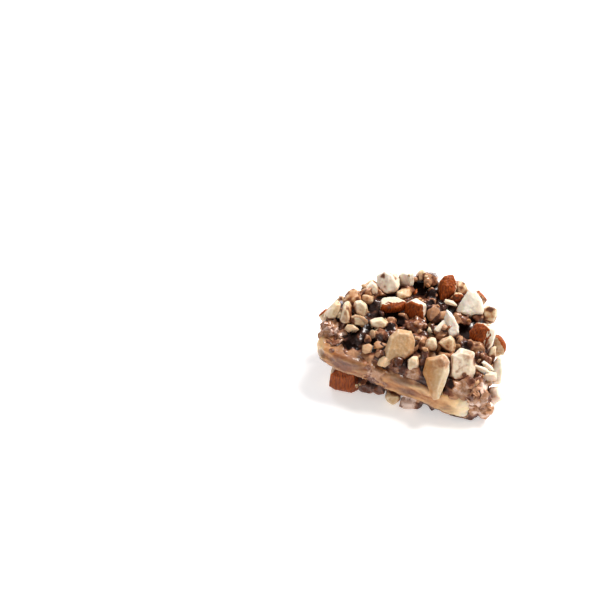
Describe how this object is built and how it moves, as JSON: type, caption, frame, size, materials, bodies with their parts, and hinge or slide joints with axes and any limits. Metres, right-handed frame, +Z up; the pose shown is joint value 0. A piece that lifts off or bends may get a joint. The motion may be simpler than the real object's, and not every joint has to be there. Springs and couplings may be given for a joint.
{
  "type": "almond butter crunch",
  "caption": "Broken shard of butter toffee coated with milk chocolate and covered with chopped almonds, lying askew on its nuts.",
  "frame": {"origin": "on the table, under the middle of the piece's box", "axes": "+Z up, +X to the right and +Y away from the viewer, who faces the broken side"},
  "size_m": [0.0548, 0.0524, 0.0218],
  "materials": {
    "butter_toffee": "brittle amber toffee, satin on its broken side",
    "milk_chocolate": "milk chocolate, soft sheen, smeared over nuts",
    "almond_flesh": "cut almond, cream, waxy, with chocolate smears",
    "almond_skin": "brown almond skin, finely ridged"
  },
  "bodies": {
    "root": {"almond_bare_01": "almond_flesh", "almond_bare_02": "almond_flesh", "almond_bare_03": "almond_flesh", "almond_bare_04": "almond_flesh", "almond_bare_05": "almond_flesh", "almond_bare_06": "almond_flesh", "almond_bare_07": "almond_flesh", "almond_bare_08": "almond_flesh", "almond_bare_09": "almond_flesh", "almond_bare_10": "almond_flesh", "almond_bare_13": "almond_flesh", "almond_bare_16": "almond_flesh", "almond_bare_17": "almond_flesh", "almond_bare_19": "almond_flesh", "almond_bare_20": "almond_flesh", "almond_bare_21": "almond_flesh", "almond_bare_22": "almond_flesh", "almond_bare_23": "almond_flesh", "almond_bare_24": "almond_flesh", "almond_bare_25": "almond_flesh", "almond_bare_26": "almond_flesh", "almond_bare_27": "almond_flesh", "almond_bare_29": "almond_flesh", "almond_bare_30": "almond_flesh", "almond_bare_31": "almond_flesh", "almond_bare_33": "almond_flesh", "almond_bare_34": "almond_flesh", "almond_bare_36": "almond_flesh", "almond_bare_37": "almond_flesh", "almond_bare_41": "almond_flesh", "almond_bare_42": "almond_flesh", "almond_bare_43": "almond_flesh", "almond_bare_45": "almond_flesh", "almond_bare_46": "almond_flesh", "almond_bare_47": "almond_flesh", "almond_bare_48": "almond_flesh", "almond_skin_11": "almond_skin", "almond_skin_12": "almond_skin", "almond_skin_14": "almond_skin", "almond_skin_15": "almond_skin", "almond_skin_18": "almond_skin", "almond_skin_28": "almond_skin", "almond_skin_32": "almond_skin", "almond_skin_35": "almond_skin", "almond_skin_38": "almond_skin", "almond_skin_39": "almond_skin", "almond_skin_40": "almond_skin", "almond_skin_44": "almond_skin", "chocolate": "milk_chocolate", "toffee": "butter_toffee"}
  },
  "joints": []
}
